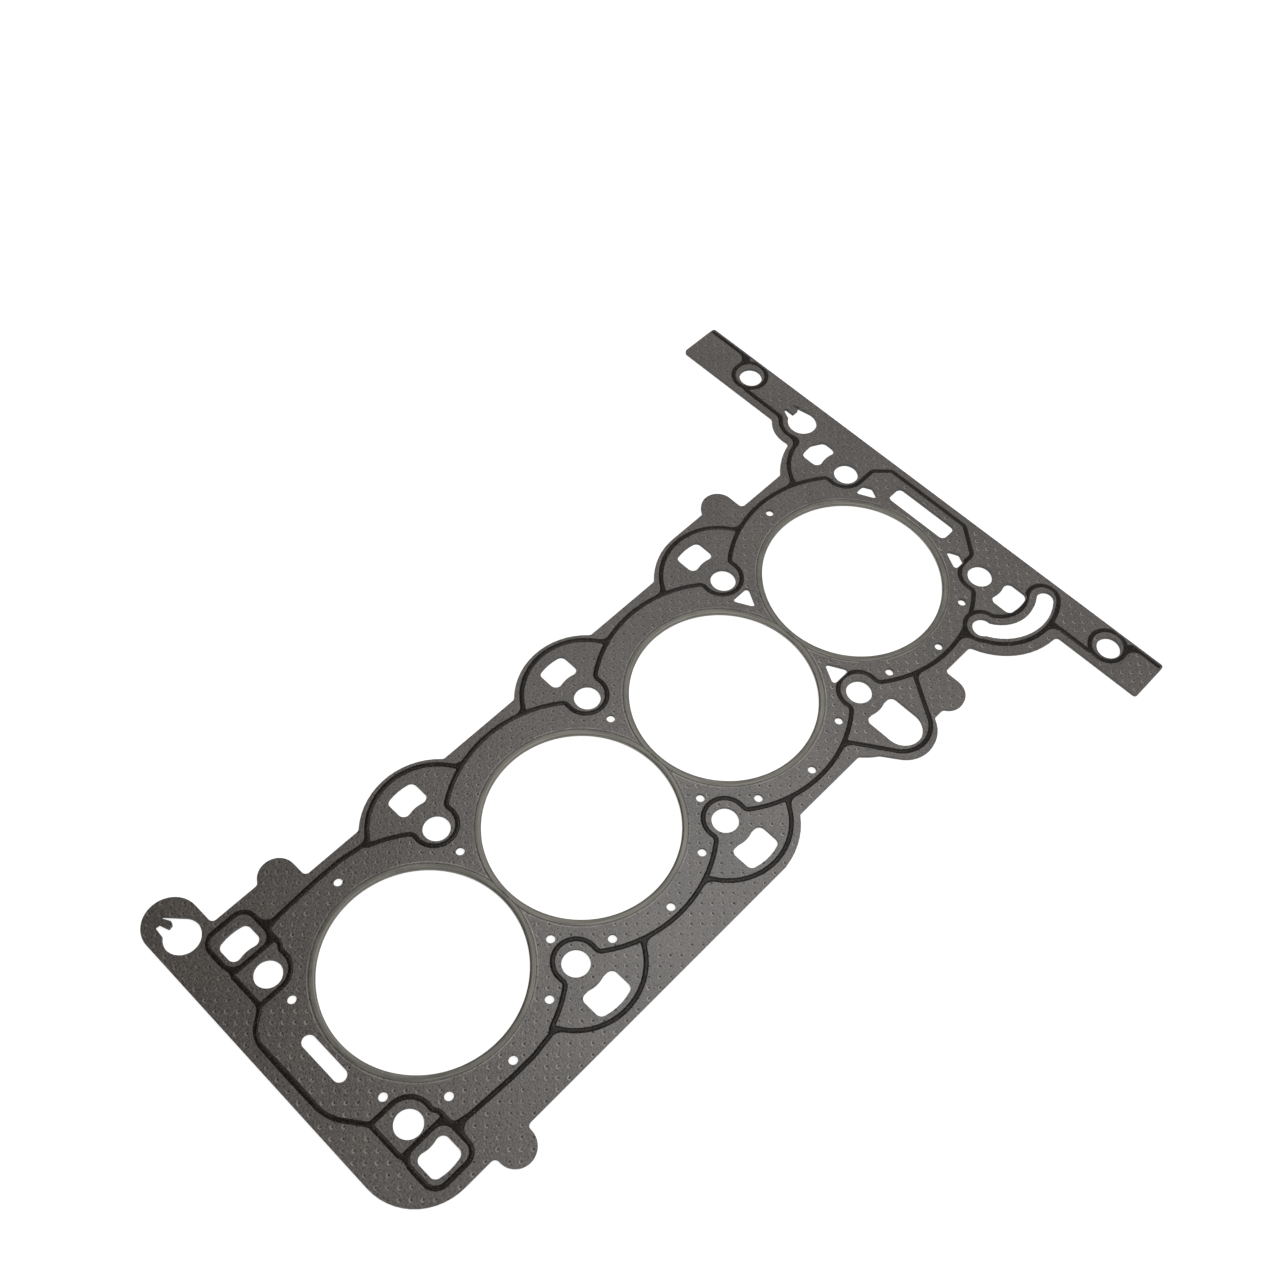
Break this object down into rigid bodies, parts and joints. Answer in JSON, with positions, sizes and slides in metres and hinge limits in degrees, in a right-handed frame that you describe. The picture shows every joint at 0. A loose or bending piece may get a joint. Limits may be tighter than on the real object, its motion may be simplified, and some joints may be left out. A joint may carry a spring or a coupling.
{
  "type": "cylinder head gasket",
  "caption": "Flat composite sheet with cylinder bores in folded steel rings, bolt and dowel holes, oil and coolant openings, and a raised sealing bead.",
  "frame": {"origin": "middle of the head bolt pattern, on the plane of the block's deck, where the lower flanges of the fire rings lie", "axes": "+X along the crank line towards the timing end with the two arms, +Y across the engine towards the side with both dowel holes, +Z from the block up to the cylinder head"},
  "size_m": [0.3904, 0.2724, 0.0019],
  "materials": {
    "facing": "matt dark grey graphite and fibre facing",
    "ring_steel": "dull thin stainless steel",
    "bead": "matt black printed silicone"
  },
  "bodies": {
    "root": {"gasket_sheet": "facing", "fire_ring_1": "ring_steel", "fire_ring_2": "ring_steel", "fire_ring_3": "ring_steel", "fire_ring_4": "ring_steel", "sealing_bead_head_side": "bead", "sealing_bead_deck_side": "bead"}
  },
  "joints": []
}
